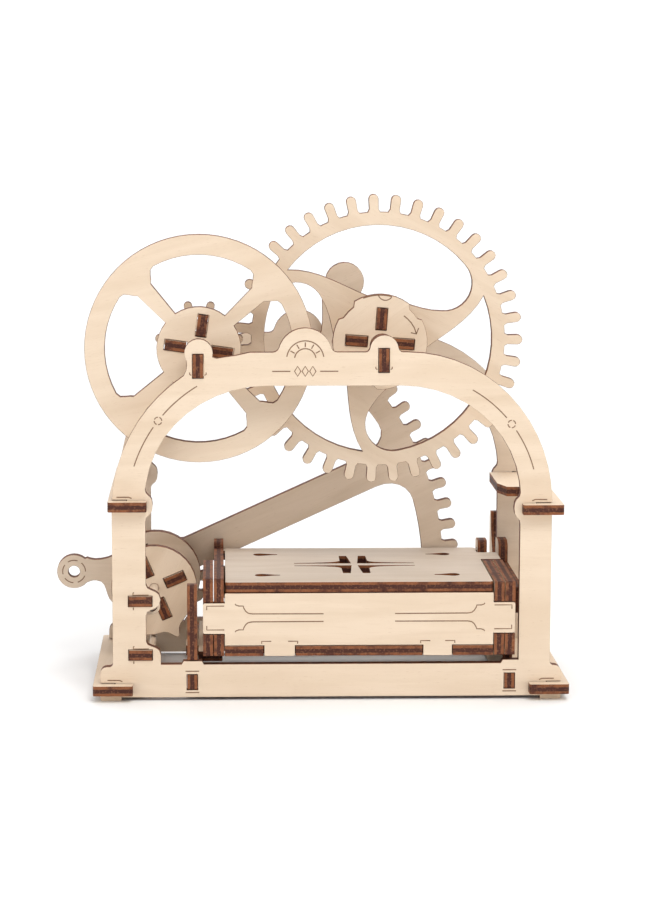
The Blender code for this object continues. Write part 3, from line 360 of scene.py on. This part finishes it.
def engraving(name, body, face, lines, loops=()):
    bm = bmesh.new()
    for line in lines:
        ribbon(bm, face, line)
    for loop in loops:
        ribbon(bm, face, loop, closed=True)
    bmesh.ops.recalc_face_normals(bm, faces=bm.faces[:])
    mesh = bpy.data.meshes.new(name)
    bm.to_mesh(mesh)
    bm.free()
    made = bpy.data.objects.new(name, mesh)
    bpy.context.scene.collection.objects.link(made)
    mesh.materials.append(BURNT)
    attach(made, body)


BURNT = burnt("engraved_line")


def broken_ring(centre, radius, dashes, gap=22):
    """A small circle in equal dashes."""
    step = 360 / dashes
    return [arc(centre, radius, k * step, (k + 1) * step - gap, 6) for k in range(dashes)]


def shoulder_lines():
    """Two long dashes along each shoulder, parallel to its outer edge, with a broken ring between."""
    lines = []
    for centre, radius, spans, middle in (((-18.4, 62.0), 46.8, ((121.4, 139.1), (145.0, 162.2)), 141.9),
                                          ((24.0, 64.0), 42.0, ((60.4, 41.0), (34.0, 15.1)), 37.5)):
        lines += [arc(centre, radius, start, end, 12) for start, end in spans]
        ring = arc(centre, radius, middle, middle, 1)[0]
        lines += broken_ring(ring, 1.2, 4)
    return lines


def ornament_lines():
    """A generic fan of arcs on the beam's round crest, and a plain double line with diamonds below it."""
    crest = (-8.5, 110.4)
    lines = [arc(crest, 5.9, 8, 172), arc(crest, 3.4, 8, 172)]
    for angle in range(30, 151, 30):
        spoke = math.radians(angle)
        unit = (math.cos(spoke), math.sin(spoke))
        lines.append([(crest[0] + r * unit[0], crest[1] + r * unit[1]) for r in (3.9, 5.4)])
    lines += [[(-19.0, 106.6), (-13.2, 106.6)], [(-3.8, 106.6), (2.0, 106.6)]]
    diamonds = []
    for x in (-10.9, -8.5, -6.1):
        diamonds.append([(x - 1.0, 106.6), (x, 108.2), (x + 1.0, 106.6), (x, 105.0)])
    return lines, diamonds


def slot_brackets():
    """Short marks beside the tabs, tenons and keys of the front arch."""
    lines = []
    for x in (-44.7, 57.6):
        lines += [[(x - 2.2, 9.6), (x + 2.2, 9.6)], [(x - 2.2, 2.6), (x + 2.2, 2.6)]]
    for z in (15.0, 32.6):
        lines += [[(-63.3, z + 2.9), (-63.6, z + 2.6), (-63.6, z + 2.0), (-58.6, z + 2.0)],
                  [(-63.5, z - 2.0), (-63.5, z - 2.9)]]
    for x, z in ((-42.5, 108.3), (16.5, 110.0)):
        for side in (-1, 1):
            lines.append([(x + side * 2.6, z - 2.0), (x + side * 2.6, z - 2.6), (x + side * 2.1, z - 2.9)])
    for side, x, z in ((-1, 70.2, 66.4), (1, 70.6, 65.2), (-1, 73.6, 6.7), (1, 73.6, 6.7)):
        lines.append([(side * (x - 1.6), z), (side * (x - 5.4), z), (side * (x - 6.4), z - 0.4)])
    return lines


def box_front_lines():
    """Two long lines at each end of the box front, bent towards each other, and corner marks on its tabs."""
    lines = []
    middle = 27.1
    hook = [(0, 4.6), (0.3, 4.2), (1.2, 3.9), (2.6, 3.9), (2.8, 3.2),
            (3.4, 2.2), (4.1, 1.6), (4.8, 1.4), (5.6, 1.3)]
    for start, run, inner in ((-30.9, 1, -2.5), (49.4, -1, 20.5)):
        for side in (-1, 1):
            bend = [(start + run * along, middle + side * away) for along, away in hook]
            lines.append(bend + [(inner, middle + side * 1.25)])
    for x, run in ((-40.0, 1), (58.1, -1)):
        for side in (-1, 1):
            level = middle + side * 3.9
            lines.append([(x, middle + side * 2.6), (x, level), (x + run * 5.6, level)])
    for a, b in ((-21.5, -11.7), (29.7, 38.9)):
        lines.append([(a - 0.9, 18.6), (a - 0.9, 19.4), (a + 2.2, 19.4)])
        lines.append([(b + 0.9, 18.6), (b + 0.9, 19.4), (b - 2.2, 19.4)])
    return lines


def cam_lines():
    """A curved arrow that shows which way the cam turns, and a crescent at its top edge."""
    centre = (16.3, 114.0)
    shaft = [(24.0, 122.6), (25.2, 121.6), (26.4, 120.3), (27.4, 118.7), (28.1, 116.7)]
    head = [(26.3, 117.1), shaft[-1], (28.8, 118.6)]
    edge = arc(centre, 15.3, 111, 76, 10)
    crescent = arc((18.0, 130.0), 2.4, 200, 330, 8)
    return [shaft, head, edge, crescent]


def ring_dashes():
    """A broken circle round the lever's finger hole."""
    return broken_ring((-85.6, 31.8), 3.9, 5)


def engrave_all():
    arch = Face("front_arch", "front")
    engraving("arch_shoulder_lines", "frame", arch, shoulder_lines())
    lines, diamonds = ornament_lines()
    engraving("arch_ornament", "frame", arch, lines, diamonds)
    engraving("arch_slot_brackets", "frame", arch, slot_brackets())
    engraving("box_front_lines", "frame", Face("box_front", "front"), box_front_lines())
    engraving("cam_lines", "gear", Face("cam_disc", "front"), cam_lines())
    engraving("ring_dashes", "hub", Face("hub_lever", "front"), ring_dashes())


# ---------------------------------------------------------------- studio

def floor_material():
    made = bpy.data.materials.new("pale_floor")
    made.use_nodes = True
    tree = made.node_tree
    shader = tree.nodes["Principled BSDF"]
    place = add(tree, "ShaderNodeTexCoord")
    cloud = noise(tree, place.outputs["Object"], 2, 0.5)
    colour = ramp(tree, cloud, ((0.3, FLOOR_TONES[0]), (0.7, FLOOR_TONES[1])))
    tree.links.new(colour, shader.inputs["Base Color"])
    behind = smooth_step(tree, dot(tree, place.outputs["Object"], (0, 1, 0)), 0.25, 1.6)
    shader.inputs["Emission Color"].default_value = (1, 1, 1, 1)
    tree.links.new(maths(tree, "MULTIPLY", behind, BACKDROP_GLOW), shader.inputs["Emission Strength"])
    shader.inputs["Roughness"].default_value = 0.7
    shader.inputs["Specular IOR Level"].default_value = 0.15
    return made


def studio_floor():
    """A flat floor that sweeps up into a backdrop behind the object."""
    profile = [(FLOOR_FRONT, 0.0), (SWEEP_START, 0.0)]
    for angle in range(10, 91, 10):
        turn = math.radians(angle)
        back, up = SWEEP_RADIUS * math.sin(turn), SWEEP_RADIUS - SWEEP_RADIUS * math.cos(turn)
        profile.append((SWEEP_START + back, up))
    profile.append((SWEEP_START + SWEEP_RADIUS, BACKDROP_TOP))
    bm = bmesh.new()
    rows = []
    for y, z in profile:
        rows.append([bm.verts.new((x, y, z)) for x in (-FLOOR_HALF_WIDTH, FLOOR_HALF_WIDTH)])
    for (a, b), (c, d) in zip(rows, rows[1:]):
        bm.faces.new((a, b, d, c))
    mesh = bpy.data.meshes.new("studio_floor")
    bm.to_mesh(mesh)
    bm.free()
    mesh.shade_smooth()
    mesh.materials.append(floor_material())
    made = bpy.data.objects.new("studio_floor", mesh)
    bpy.context.scene.collection.objects.link(made)


def area_light(name, location, target, size, power, colour=(1, 1, 1)):
    data = bpy.data.lights.new(name, "AREA")
    data.shape = "DISK"
    data.size = size
    data.energy = power
    data.color = colour
    made = bpy.data.objects.new(name, data)
    made.location = location
    made.rotation_euler = (Vector(target) - Vector(location)).to_track_quat("-Z", "Y").to_euler()
    bpy.context.scene.collection.objects.link(made)


def studio():
    studio_floor()
    world = bpy.data.worlds.new("studio_world")
    bpy.context.scene.world = world
    world.use_nodes = True
    background = world.node_tree.nodes["Background"]
    background.inputs["Color"].default_value = (1, 1, 1, 1)
    background.inputs["Strength"].default_value = WORLD_LIGHT
    area_light("key_light", (0.25, -0.80, 1.05), (0, 0, 0.06), 0.7, 8.0, (1.0, 0.99, 0.97))
    area_light("fill_light", (-0.8, -0.9, 0.5), (0, 0, 0.07), 0.9, 1.8)
    area_light("top_light", (0.05, 0.25, 1.1), (0, 0, 0.05), 0.8, 4.4)
    bpy.context.scene.view_settings.view_transform = "Standard"
    bpy.context.scene.view_settings.look = "None"


def camera():
    data = bpy.data.cameras.new("camera")
    data.sensor_width = 36.0
    data.lens = FOCAL_LENGTH
    data.shift_x = SHIFT_RIGHT
    data.clip_start = 0.05
    data.clip_end = 20.0
    made = bpy.data.objects.new("camera", data)
    x, y, z = CAMERA_OFFSET
    made.location = (CENTRE_X + x * MM, ARCH_LOW.y + y * MM, z * MM)
    made.rotation_euler = Euler((math.radians(90 - PITCH_DOWN), 0, math.radians(-YAW_RIGHT)), "XYZ")
    bpy.context.scene.collection.objects.link(made)
    bpy.context.scene.camera = made


for number, (node_name, node_object) in enumerate(sorted(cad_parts.items())):
    dress(number + 1, node_name, node_object)
engrave_all()
studio()
camera()
